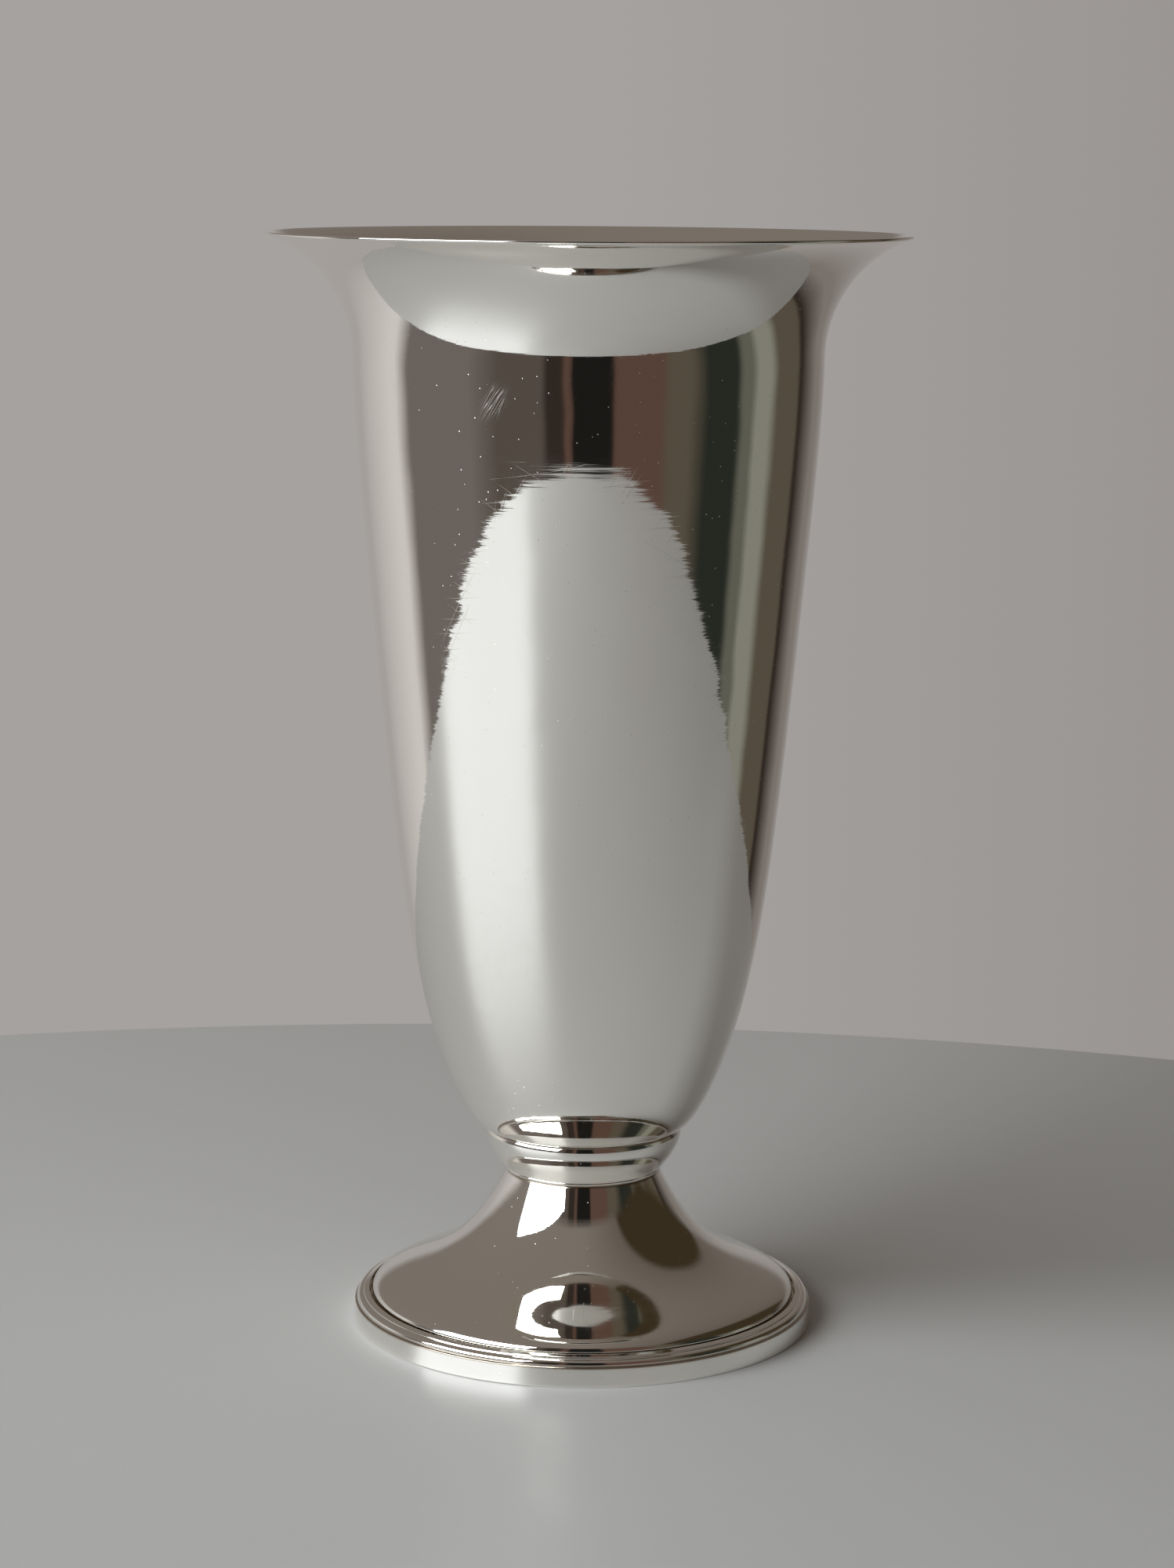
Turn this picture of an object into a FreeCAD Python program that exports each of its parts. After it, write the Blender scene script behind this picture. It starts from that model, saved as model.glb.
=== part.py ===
import FreeCAD, Part
import math
import os
import Sketcher

# Trumpet vase in polished silver. Four pieces stand one on the other and are soldered together: a
# stepped wire band, a spun domed foot inside it, a turned collar, and a spun bowl that flares into
# the mouth. Z is the vase's axis and the foot stands on z = 0. All sizes are in millimetres; a size
# whose name ends in share is a part of the stretch that its piece spans.

SIZES = {
    # the whole vase
    "vase_height": 200.0,
    "mouth_radius": 57.7,
    "foot_radius": 42.75,
    "foot_height": 28.3,
    "collar_height": 8.3,
    # the bowl: sheet, flat base with its rounded edge, and the lip's curl past the throat
    "bowl_wall": 0.6,
    "bowl_base_radius": 17.75,
    "turn_rise": 0.3,
    "lip_spread": 15.5,
    "lip_curl_radius": 22.6,
    # how the bowl's wall swells from its base (0) to its throat (1)
    "turn_radius_share": 0.129,
    "belly_radius_share": 0.501,
    "belly_height_share": 0.139,
    "body_radius_share": 0.711,
    "body_height_share": 0.405,
    "neck_radius_share": 0.87,
    "neck_height_share": 0.699,
    "throat_height_share": 0.934,
    # the collar: a fine bead at the waist, and a round that swells from the bead (0) to its crown (1)
    "waist_radius": 14.1,
    "collar_wall": 2.6,
    "bead_height": 0.9,
    "bead_swell": 0.7,
    "round_overhang": 0.8,
    "round_swell": 0.45,
    "root_radius_share": 0.455,
    "root_height_share": 0.243,
    "swell_radius_share": 0.788,
    "swell_height_share": 0.514,
    "upright_height_share": 0.757,
    "crown_height_share": 0.919,
    # the foot: sheet, and how its dome falls from the waist (0) to the skirt (1)
    "foot_wall": 0.8,
    "shoulder_height": 5.2,
    "shoulder_round": 1.85,
    "flare_radius_share": 0.215,
    "flare_height_share": 0.5,
    "slope_radius_share": 0.668,
    "slope_height_share": 0.183,
    # the band: a plain wall, a small step, a quarter round, a ledge, and a groove round the skirt
    "wall_height": 3.5,
    "wall_draft": 0.35,
    "step_width": 0.35,
    "step_rise": 0.15,
    "ovolo_width": 1.25,
    "ovolo_rise": 1.15,
    "ledge_width": 1.05,
    "ledge_lip": 0.2,
    "ledge_rise": 0.3,
    "groove_width": 0.55,
    "groove_depth": 1.7,
    "skirt_seat_height": 1.2,
}


class Rule:
    """A length worked out from the sizes: its number now, and the text that keeps it bound to them."""

    def __init__(self, number, text):
        self.number = number
        self.text = text

    def __add__(self, other):
        return Rule(self.number + other.number, f"({self.text} + {other.text})")

    def __sub__(self, other):
        return Rule(self.number - other.number, f"({self.text} - {other.text})")

    def __mul__(self, other):
        return Rule(self.number * other.number, f"({self.text} * {other.text})")

    def __truediv__(self, other):
        return Rule(self.number / other.number, f"({self.text} / {other.text})")


def root(rule):
    """The square root of a rule."""
    return Rule(math.sqrt(rule.number), f"sqrt({rule.text})")


def hypotenuse(run, rise):
    """The length of a slanted side, from how far it runs and rises."""
    return root(run * run + rise * rise)


def between(low, high, share):
    """The place that lies a share of the way from low to high."""
    return low + (high - low) * share


class Point:
    """A place on an outline: how far out from the vase's axis, and how high."""

    def __init__(self, radius, height):
        self.radius = radius
        self.height = height


def inside(before, point, after, wall):
    """A point moved by the sheet's thickness to the inner face, square to the wall that passes it."""
    run = after.radius - before.radius
    rise = after.height - before.height
    length = hypotenuse(run, rise)
    return Point(point.radius - wall * rise / length, point.height + wall * run / length)


def make_sheet(document):
    """Put every driving size into the document's own table, one named row each."""
    sheet = document.addObject("Spreadsheet::Sheet", "Sizes")
    for row, (name, value) in enumerate(SIZES.items(), start=1):
        sheet.set(f"A{row}", name)
        sheet.set(f"B{row}", str(value))
        sheet.setAlias(f"B{row}", name)
    document.recompute()


class Outline:
    """A closed outline in a piece's upright plane, drawn edge by edge and bound to the table."""

    def __init__(self, body, start):
        self.sketch = body.newObject("Sketcher::SketchObject", body.Name + "_outline")
        upright = [plane for plane in body.Origin.OriginFeatures if plane.Role == "XZ_Plane"][0]
        self.sketch.AttachmentSupport = (upright, [""])
        self.sketch.MapMode = "FlatFace"
        self.start = start
        self.here = start
        self.first_end = None
        self.last_end = None
        self.still_free = ("DistanceX", "DistanceY")

    def bind(self, kind, geometry, end, rule):
        """Hold a point's distance from the axis or from the floor at what its rule says."""
        if rule is ZERO:
            in_line = "Vertical" if kind == "DistanceX" else "Horizontal"
            self.sketch.addConstraint(Sketcher.Constraint(in_line, *ORIGIN, geometry, end))
            return
        held = Sketcher.Constraint(kind, *ORIGIN, geometry, end, rule.number)
        number = self.sketch.addConstraint(held)
        self.sketch.setExpression(f"Constraints[{number}]", rule.text)

    def place(self, geometry, end, point, kinds=("DistanceX", "DistanceY")):
        """Hold a point of an edge at its place."""
        rules = {"DistanceX": point.radius, "DistanceY": point.height}
        for kind in kinds:
            self.bind(kind, geometry, end, rules[kind])

    def join(self, start_end, last_end):
        """Tie an edge's start to the end of the edge before it, and hold it at its place."""
        if self.last_end is None:
            self.first_end = start_end
        else:
            self.sketch.addConstraint(Sketcher.Constraint("Coincident", *self.last_end, *start_end))
        self.place(*start_end, self.here, self.still_free)
        self.last_end = last_end
        self.still_free = ("DistanceX", "DistanceY")

    def line(self, point):
        """A straight edge to a point."""
        edge = self.sketch.addGeometry(Part.LineSegment(vector(self.here), vector(point)), False)
        self.join((edge, 1), (edge, 2))
        self.here = point

    def curve(self, *points):
        """A smooth edge drawn by its control points, which ends at the last of them."""
        controls = [self.here, *points]
        degree = min(len(controls) - 1, CUBIC_DEGREE)
        poles = [vector(control) for control in controls]
        shape = Part.BSplineCurve(poles, None, None, False, degree, None, False)
        edge = self.sketch.addGeometry(shape, False)
        self.join((edge, 1), (edge, 2))
        self.sketch.exposeInternalGeometry(edge)
        for count, point in enumerate(controls[1:-1], start=2):
            self.place(edge + count, 3, point)
        self.here = controls[-1]

    def arc(self, centre, point, radius, turns_back, still_free):
        """A round edge about a centre. The centre and one distance of its end are enough to hold it."""
        angles = sorted(
            math.atan2(end.height.number - centre.height.number, end.radius.number - centre.radius.number)
            for end in (self.here, point)
        )
        circle = Part.Circle(vector(centre), FACING, radius.number)
        edge = self.sketch.addGeometry(Part.ArcOfCircle(circle, *angles), False)
        start, end = (2, 1) if turns_back else (1, 2)
        self.join((edge, start), (edge, end))
        self.place(edge, 3, centre)
        self.still_free = (still_free,)
        self.here = point

    def close(self):
        """A straight edge back to the start."""
        self.line(self.start)
        self.sketch.addConstraint(Sketcher.Constraint("Coincident", *self.last_end, *self.first_end))
        return self.sketch


def vector(point):
    """A point of an outline as a flat vector: radius across, height up."""
    return FreeCAD.Vector(point.radius.number, point.height.number, 0)


def start_piece(document, name):
    """A new piece under its own name."""
    body = document.addObject("PartDesign::Body", name)
    body.Label = name
    body.Placement = FreeCAD.Placement()
    return body


def spin(body, sketch):
    """Turn an outline all the way round the vase's axis."""
    turned = body.newObject("PartDesign::Revolution", body.Name + "_turned")
    turned.Profile = sketch
    turned.ReferenceAxis = (sketch, ["V_Axis"])
    turned.Angle = FULL_TURN_ANGLE
    sketch.Visibility = False
    body.Tip = turned


def make_bowl(document):
    """The spun bowl: a flat base, a wall that swells to the throat, and a lip curled outwards."""
    wall = SIZE["bowl_wall"]
    curl = SIZE["lip_curl_radius"]
    base_height = COLLAR_TOP
    base_radius = SIZE["bowl_base_radius"]
    throat_radius = SIZE["mouth_radius"] - SIZE["lip_spread"]
    lean = (curl - SIZE["lip_spread"]) / curl
    rise = root(ONE - lean * lean)
    throat_height = SIZE["vase_height"] - (curl + wall) * rise

    def station(name):
        radius = between(base_radius, throat_radius, SIZE[name + "_radius_share"])
        return Point(radius, between(base_height, throat_height, SIZE[name + "_height_share"]))

    base = Point(base_radius, base_height)
    turn_radius = between(base_radius, throat_radius, SIZE["turn_radius_share"])
    turn = Point(turn_radius, base_height + SIZE["turn_rise"])
    belly = station("belly")
    body_middle = station("body")
    neck = station("neck")
    straight = Point(throat_radius, between(base_height, throat_height, SIZE["throat_height_share"]))
    throat = Point(throat_radius, throat_height)
    centre = Point(throat_radius + curl, throat_height)
    lip_under = Point(centre.radius - curl * lean, throat_height + curl * rise)
    lip_top = Point(centre.radius - (curl + wall) * lean, SIZE["vase_height"])
    throat_inside = Point(throat_radius - wall, throat_height)

    body = start_piece(document, "bowl")
    outline = Outline(body, Point(ZERO, base_height))
    outline.line(base)
    outline.curve(turn, belly, body_middle, neck, straight, throat)
    outline.arc(centre, lip_under, curl, True, "DistanceX")
    outline.line(lip_top)
    outline.arc(centre, throat_inside, curl + wall, False, "DistanceY")
    outline.curve(
        Point(throat_radius - wall, straight.height),
        inside(body_middle, neck, straight, wall),
        inside(belly, body_middle, neck, wall),
        inside(turn, belly, body_middle, wall),
        Point(turn.radius, turn.height + wall),
        Point(base_radius, base_height + wall),
    )
    outline.line(Point(ZERO, base_height + wall))
    spin(body, outline.close())
    return body


def make_collar(document):
    """The turned collar between foot and bowl: a bead at the waist and a full round over it."""
    waist = SIZE["waist_radius"]
    bore = waist - SIZE["collar_wall"]
    bead_top = SIZE["foot_height"] + SIZE["bead_height"]
    bead_reach = waist + SIZE["bead_swell"]
    round_foot = Point(waist + SIZE["round_overhang"], bead_top)
    crown_radius = SIZE["bowl_base_radius"] + SIZE["round_swell"]

    def station(name):
        radius = between(round_foot.radius, crown_radius, SIZE[name + "_radius_share"])
        return Point(radius, between(bead_top, COLLAR_TOP, SIZE[name + "_height_share"]))

    body = start_piece(document, "collar")
    outline = Outline(body, Point(waist, SIZE["foot_height"]))
    outline.curve(
        Point(bead_reach, SIZE["foot_height"]),
        Point(bead_reach, bead_top),
        Point(waist, bead_top),
    )
    outline.line(round_foot)
    outline.curve(
        station("root"),
        station("swell"),
        Point(crown_radius, between(bead_top, COLLAR_TOP, SIZE["upright_height_share"])),
        Point(crown_radius, between(bead_top, COLLAR_TOP, SIZE["crown_height_share"])),
        Point(SIZE["bowl_base_radius"], COLLAR_TOP),
    )
    outline.line(Point(bore, COLLAR_TOP))
    outline.line(Point(bore, SIZE["foot_height"]))
    spin(body, outline.close())
    return body


def make_foot(document):
    """The spun foot: a skirt that stands in the band, a round shoulder, and a dome up to the waist."""
    wall = SIZE["foot_wall"]
    waist = SIZE["waist_radius"]
    bore = waist - SIZE["collar_wall"]
    shoulder = SIZE["shoulder_height"]
    seat = SIZE["skirt_seat_height"]

    def station(name):
        radius = between(waist, SKIRT_RADIUS, SIZE[name + "_radius_share"])
        return Point(radius, between(shoulder, SIZE["foot_height"], SIZE[name + "_height_share"]))

    skirt_top = Point(SKIRT_RADIUS, shoulder)
    turn = Point(SKIRT_RADIUS, shoulder + SIZE["shoulder_round"])
    slope = station("slope")
    flare = station("flare")
    top = Point(waist, SIZE["foot_height"])

    body = start_piece(document, "foot")
    outline = Outline(body, Point(SKIRT_RADIUS, seat))
    outline.line(skirt_top)
    outline.curve(turn, slope, flare, top)
    outline.line(Point(bore, top.height))
    outline.line(Point(bore, top.height - wall))
    outline.line(Point(waist - wall, top.height - wall))
    outline.curve(
        inside(slope, flare, top, wall),
        inside(turn, slope, flare, wall),
        Point(SKIRT_RADIUS - wall, turn.height - wall),
        Point(SKIRT_RADIUS - wall, shoulder),
    )
    outline.line(Point(SKIRT_RADIUS - wall, seat))
    spin(body, outline.close())
    return body


def make_band(document):
    """The wire band: plain wall, step, quarter round and ledge, with a rebate that seats the skirt."""
    wall_top = SIZE["wall_height"]
    wall_top_radius = SIZE["foot_radius"] - SIZE["wall_draft"]
    step_radius = wall_top_radius - SIZE["step_width"]
    step_top = wall_top + SIZE["step_rise"]
    ovolo_top = step_top + SIZE["ovolo_rise"]
    ledge_radius = step_radius - SIZE["ovolo_width"]
    groove_radius = SKIRT_RADIUS + SIZE["groove_width"]
    ledge_top = ovolo_top + SIZE["ledge_lip"] + SIZE["ledge_rise"]
    groove_floor = ledge_top - SIZE["groove_depth"]
    seat = SIZE["skirt_seat_height"]
    bore = SKIRT_RADIUS - SIZE["foot_wall"]

    body = start_piece(document, "foot_band")
    outline = Outline(body, Point(SIZE["foot_radius"], ZERO))
    outline.line(Point(wall_top_radius, wall_top))
    outline.line(Point(step_radius, step_top))
    outline.curve(Point(step_radius, ovolo_top), Point(ledge_radius, ovolo_top))
    outline.line(Point(ledge_radius, ovolo_top + SIZE["ledge_lip"]))
    outline.line(Point(groove_radius, ledge_top))
    outline.line(Point(groove_radius, groove_floor))
    outline.line(Point(SKIRT_RADIUS, groove_floor))
    outline.line(Point(SKIRT_RADIUS, seat))
    outline.line(Point(bore, seat))
    outline.line(Point(bore, ZERO))
    spin(body, outline.close())
    return body


def check(document, pieces):
    """Stop if anything in the document failed, or if a piece is not a sound solid."""
    for item in document.Objects:
        if "Invalid" in item.State or "Error" in item.State:
            raise RuntimeError(f"{item.Label} failed: {item.State}")
    for piece in pieces:
        if piece.Shape.isNull() or not piece.Shape.isValid() or len(piece.Shape.Solids) != 1:
            raise RuntimeError(f"{piece.Label} is not one sound solid")


ORIGIN = (-1, 1)
CUBIC_DEGREE = 3
FULL_TURN_ANGLE = 360
FACING = FreeCAD.Vector(0, 0, 1)
ZERO = Rule(0.0, "0")
ONE = Rule(1.0, "1")
SIZE = {name: Rule(value, f"Sizes.{name}") for name, value in SIZES.items()}
COLLAR_TOP = SIZE["foot_height"] + SIZE["collar_height"]
SKIRT_RADIUS = (
    SIZE["foot_radius"]
    - SIZE["wall_draft"]
    - SIZE["step_width"]
    - SIZE["ovolo_width"]
    - SIZE["ledge_width"]
    - SIZE["groove_width"]
)

document = FreeCAD.newDocument("trumpet_vase")
make_sheet(document)
pieces = [make_bowl(document), make_collar(document), make_foot(document), make_band(document)]
document.recompute()
check(document, pieces)
os.makedirs("parts", exist_ok=True)
for piece in pieces:
    piece.Shape.exportStep(f"parts/{piece.Label}.step")
    box = piece.Shape.optimalBoundingBox()
    reach = f"{box.XLength:.2f} wide, {box.ZLength:.2f} high, top at {box.ZMax:.2f}"
    print(f"{piece.Label}: {piece.Shape.Volume:.0f} mm3, {reach}")
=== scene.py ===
# %% [markdown]
# # A trumpet vase in polished silver
# The vase is four round pieces that stand one on the other: a wire band, a domed foot, a turned
# collar and a tall bowl with an out-curled lip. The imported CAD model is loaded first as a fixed
# frame. Every size below is in metres. It is read from that frame, or it is a named size of the
# real sheet or casting, so each piece lands exactly where its CAD solid stands.

# %% Load the frame
import math

import bpy
from mathutils import Matrix, Vector


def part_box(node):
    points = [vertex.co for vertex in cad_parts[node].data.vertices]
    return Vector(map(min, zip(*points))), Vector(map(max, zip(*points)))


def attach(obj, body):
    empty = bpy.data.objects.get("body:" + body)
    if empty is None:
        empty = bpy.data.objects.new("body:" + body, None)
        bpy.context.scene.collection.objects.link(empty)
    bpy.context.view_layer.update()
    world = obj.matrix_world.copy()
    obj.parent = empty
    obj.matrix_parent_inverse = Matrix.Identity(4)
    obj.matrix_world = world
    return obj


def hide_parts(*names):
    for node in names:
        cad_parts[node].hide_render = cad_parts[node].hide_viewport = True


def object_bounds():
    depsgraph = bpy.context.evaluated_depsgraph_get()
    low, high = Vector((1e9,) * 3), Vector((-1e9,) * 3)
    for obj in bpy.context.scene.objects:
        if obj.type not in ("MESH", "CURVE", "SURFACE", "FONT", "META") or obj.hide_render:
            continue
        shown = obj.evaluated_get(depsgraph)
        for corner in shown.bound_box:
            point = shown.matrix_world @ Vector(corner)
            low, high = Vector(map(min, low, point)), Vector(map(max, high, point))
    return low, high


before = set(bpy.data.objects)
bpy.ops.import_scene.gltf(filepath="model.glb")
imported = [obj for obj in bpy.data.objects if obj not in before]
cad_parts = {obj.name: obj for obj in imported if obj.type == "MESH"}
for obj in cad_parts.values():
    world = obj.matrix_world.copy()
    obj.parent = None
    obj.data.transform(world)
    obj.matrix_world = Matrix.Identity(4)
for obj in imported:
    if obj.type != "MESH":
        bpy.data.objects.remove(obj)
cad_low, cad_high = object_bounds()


def mm(length):
    """A length in millimetres, short enough to print."""
    return round(length * 1000, 2)


print("the vase stands", mm(cad_high.z), "mm high")

# %% Sizes that the frame gives
vase_height = cad_high.z
mouth_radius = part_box("bowl")[1].x
base_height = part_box("collar")[1].z
foot_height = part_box("foot")[1].z
skirt_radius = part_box("foot")[1].x
seat_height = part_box("foot")[0].z
foot_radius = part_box("foot_band")[1].x
print("mouth", mm(mouth_radius * 2), "mm and foot", mm(foot_radius * 2), "mm wide")
print("the foot ends at", mm(foot_height), "mm and the collar at", mm(base_height), "mm")

# %% [markdown]
# ## Straight and round stretches
# A spun or turned piece is wholly told by the outline that a cut through its axis shows, a list
# of places (radius, height). It could be traced from the CAD mesh, but an outline drawn from a
# few named sizes is smoother and can be changed later. Its short stretches are straight lines
# and arcs. A straight line gets points along it too, because a mirror's shading bends where
# small faces meet a large one.

# %% Straight and round stretches
straight_step = 0.0004
most_straight_steps = 12


def between(low, high, share):
    """The value that lies a share of the way from low to high."""
    return low + (high - low) * share


def straight_run(start, end, step=straight_step):
    """Points along a straight stretch, about one step apart."""
    steps = max(1, min(most_straight_steps, round(math.dist(start, end) / step)))
    shares = [i / steps for i in range(steps + 1)]
    return [(between(start[0], end[0], s), between(start[1], end[1], s)) for s in shares]


def arc_run(centre, radius, start_angle, end_angle, steps):
    """Points along a round stretch."""
    angles = [between(start_angle, end_angle, i / steps) for i in range(steps + 1)]
    return [(centre[0] + radius * math.cos(a), centre[1] + radius * math.sin(a)) for a in angles]


trial_line = straight_run((0.0, 0.0), (0.0, 0.002))
print("a straight stretch of 2 mm gets", len(trial_line), "points")

# %% [markdown]
# ## Smooth stretches
# A long swelling stretch is drawn as the wooden former of a spinner is, by a few control points
# that pull the line towards them. The formula of such a line could be written out here, but
# Blender's own NURBS curve of order 4, with its ends pinned, already has it, and hands back
# a plain list of points.

# %% A smooth stretch
spline_order = 4


def smooth_run(controls, steps):
    """Points along the smooth curve that a few control points (radius, height) draw."""
    curve = bpy.data.curves.new("run", "CURVE")
    curve.dimensions = "3D"
    spline = curve.splines.new("NURBS")
    spline.points.add(len(controls) - 1)
    for point, (radius, height) in zip(spline.points, controls):
        point.co = (radius, 0.0, height, 1.0)
    spline.order_u = min(spline_order, len(controls))
    spline.use_endpoint_u = True
    spline.resolution_u = steps
    holder = bpy.data.objects.new("run", curve)
    line = bpy.data.meshes.new_from_object(holder)
    points = [(vertex.co.x, vertex.co.z) for vertex in line.vertices]
    bpy.data.objects.remove(holder)
    bpy.data.meshes.remove(line)
    bpy.data.curves.remove(curve)
    return points


trial_run = smooth_run([(0.0, 0.0), (0.01, 0.0), (0.01, 0.01), (0.02, 0.01)], steps=8)
print("a smooth stretch of four control points gets", len(trial_run), "points")

# %% [markdown]
# ## The inner face of a sheet
# A sheet keeps one thickness. A Solidify modifier could add it later, but then the rim could not
# be shaped. So the inner face is drawn as well: each of its control points is the outer one,
# moved square to the wall by the sheet's thickness.

# %% The inner face of a sheet
def inside(before, point, after, wall):
    """A control point moved inwards by the wall, square to the line between its neighbours."""
    run, rise = after[0] - before[0], after[1] - before[1]
    length = math.hypot(run, rise)
    return (point[0] - wall * rise / length, point[1] + wall * run / length)


trial_inside = inside((0.05, 0.0), (0.05, 0.01), (0.05, 0.02), 0.0006)
print("inside of a 0.6 mm wall at a radius of 50 mm:", mm(trial_inside[0]), "mm")

# %% [markdown]
# ## Joining the stretches
# Where two stretches meet, the metal has either a smooth join or a corner, and no real corner
# is perfectly sharp. The outline keeps a number for each point that says how far the lathe
# eases it: 0 on a smooth join and 1 on a corner. A second number marks the faces inside the
# vase, which are never polished as well as the outside.

# %% An outline that grows
smooth_join = 0.0
sharp_corner = 1.0


class Outline:
    """An outline that grows stretch by stretch, with the corner and the lining of each point."""

    def __init__(self):
        self.points = []
        self.corners = []
        self.lining = []

    def add(self, run, corner=sharp_corner, lining=0.0):
        """Add a stretch that starts where the last one ended. The corner is that of the start."""
        if self.points:
            run = run[1:]
            self.corners[-1] = corner
        self.points += run
        self.corners += [smooth_join] * len(run)
        self.lining += [lining] * len(run)


trial_outline = Outline()
trial_outline.add(trial_line)
trial_outline.add(straight_run(trial_line[-1], (0.002, 0.002)))
print("two stretches joined have", trial_outline.corners.count(sharp_corner), "corner to ease")

# %% [markdown]
# ## The lathe
# Each piece could be made with the Screw modifier or in mesh code. Geometry Nodes are the better
# lathe here, because one tree turns all four outlines, eases their corners the same way and
# keeps its sizes as named inputs. The outline's points are sampled onto a grid, one column of
# the grid for each step around, and the grid is bent round the axis.

# %% Node helpers
def add_node(tree, kind, settings=(), **inputs):
    """A node with its settings and inputs. An input's value may be a socket to link to.
    _0 is the node's first input, _1 its second, and From_Min the one called From Min."""
    node = tree.nodes.new(kind)
    for name, value in dict(settings).items():
        setattr(node, name, value)
    for name, value in inputs.items():
        key = int(name[1:]) if name[0] == "_" else name.replace("_", " ")
        if isinstance(value, bpy.types.NodeSocket):
            tree.links.new(value, node.inputs[key])
        else:
            node.inputs[key].default_value = value
    return node


def calculate(tree, operation, *values):
    """The result of a Math node."""
    inputs = {f"_{i}": value for i, value in enumerate(values)}
    return add_node(tree, "ShaderNodeMath", {"operation": operation}, **inputs).outputs[0]


print("node helpers: add_node and calculate")

# %% The lathe's named inputs
lathe_tree = bpy.data.node_groups.new("lathe", "GeometryNodeTree")
for socket_name, socket_kind in {
    "Outline": "NodeSocketGeometry",
    "Steps Around": "NodeSocketInt",
    "Corner Ease": "NodeSocketFloat",
    "Merge Distance": "NodeSocketFloat",
    "Finish": "NodeSocketMaterial",
}.items():
    lathe_tree.interface.new_socket(socket_name, in_out="INPUT", socket_type=socket_kind)
lathe_tree.interface.new_socket("Piece", in_out="OUTPUT", socket_type="NodeSocketGeometry")
lathe_given = lathe_tree.nodes.new("NodeGroupInput").outputs
print("the lathe takes:", [socket.name for socket in lathe_given if socket.name])

# %% Ease the outline's corners
ease_points = 4


def named_attribute(tree, name):
    """A number that the outline carries for each point."""
    node = add_node(tree, "GeometryNodeInputNamedAttribute", {"data_type": "FLOAT"}, Name=name)
    return node.outputs["Attribute"]


def eased_outline(tree, given):
    """The outline as a line, each corner rounded by its own share of the Corner Ease."""
    line = add_node(tree, "GeometryNodeMeshToCurve", _0=given["Outline"]).outputs[0]
    ease = calculate(tree, "MULTIPLY", named_attribute(tree, "corner"), given["Corner Ease"])
    eased = add_node(
        tree,
        "GeometryNodeFilletCurve",
        {"mode": "POLY"},
        Curve=line,
        Radius=ease,
        Count=ease_points,
        Limit_Radius=True,
    )
    return eased.outputs[0]


lathe_outline = eased_outline(lathe_tree, lathe_given)
print("the lathe has", len(lathe_tree.nodes), "nodes so far")


# %% Bend a grid round the axis
half_grid = 0.5


def on_outline(tree, outline, row, value, data_type):
    """What the outline's point of this row carries."""
    settings = {"data_type": data_type, "domain": "POINT"}
    inputs = {"Geometry": outline, "Value": value, "Index": row}
    return add_node(tree, "GeometryNodeSampleIndex", settings, **inputs).outputs[0]


def bent_grid(tree, given, outline):
    """A grid with a row for each point of the outline, bent once round the Z axis.
    A plain grid reaches from -0.5 to 0.5, so half is added to count its rows from 0 to 1.
    It is bent clockwise as seen from above, because then the faces look outwards."""
    size = add_node(tree, "GeometryNodeAttributeDomainSize", {"component": "CURVE"}, _0=outline)
    rows = size.outputs["Point Count"]
    columns = calculate(tree, "ADD", given["Steps Around"], 1)
    grid = add_node(tree, "GeometryNodeMeshGrid", Vertices_X=rows, Vertices_Y=columns)
    place = tree.nodes.new("GeometryNodeInputPosition").outputs[0]
    cell_x, cell_y, _ = add_node(tree, "ShaderNodeSeparateXYZ", _0=place).outputs
    last_row = calculate(tree, "SUBTRACT", rows, 1)
    row_share = calculate(tree, "ADD", cell_x, half_grid)
    row = calculate(tree, "ROUND", calculate(tree, "MULTIPLY", row_share, last_row))
    turn_share = calculate(tree, "ADD", cell_y, half_grid)
    angle = calculate(tree, "MULTIPLY", turn_share, -math.tau)
    point = on_outline(tree, outline, row, place, "FLOAT_VECTOR")
    radius, _, height = add_node(tree, "ShaderNodeSeparateXYZ", _0=point).outputs
    x = calculate(tree, "MULTIPLY", radius, calculate(tree, "COSINE", angle))
    y = calculate(tree, "MULTIPLY", radius, calculate(tree, "SINE", angle))
    bent = add_node(tree, "ShaderNodeCombineXYZ", X=x, Y=y, Z=height).outputs[0]
    mesh = grid.outputs["Mesh"]
    turned = add_node(tree, "GeometryNodeSetPosition", Geometry=mesh, Position=bent).outputs[0]
    return turned, on_outline(tree, outline, row, named_attribute(tree, "lining"), "FLOAT")


turned_wall, turned_lining = bent_grid(lathe_tree, lathe_given, lathe_outline)
print("the lathe has", len(lathe_tree.nodes), "nodes so far")


# %% Keep the lining, close the seam and give the finish
def finished_wall(tree, given, wall, lining):
    """The turned wall closed and smooth, with real points and the piece's finish."""
    kept = add_node(
        tree,
        "GeometryNodeStoreNamedAttribute",
        {"data_type": "FLOAT", "domain": "POINT"},
        Geometry=wall,
        Name="lining",
        Value=lining,
    ).outputs[0]
    distance = given["Merge Distance"]
    closed = add_node(tree, "GeometryNodeMergeByDistance", Geometry=kept, Distance=distance)
    smooth = add_node(tree, "GeometryNodeSetShadeSmooth", Geometry=closed.outputs[0])
    real = add_node(tree, "GeometryNodeRealizeInstances", Geometry=smooth.outputs[0]).outputs[0]
    finish = given["Finish"]
    return add_node(tree, "GeometryNodeSetMaterial", Geometry=real, Material=finish).outputs[0]


lathe_piece = finished_wall(lathe_tree, lathe_given, turned_wall, turned_lining)
lathe_tree.links.new(lathe_piece, lathe_tree.nodes.new("NodeGroupOutput").inputs[0])
print("the lathe is ready:", len(lathe_tree.nodes), "nodes")

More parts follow.
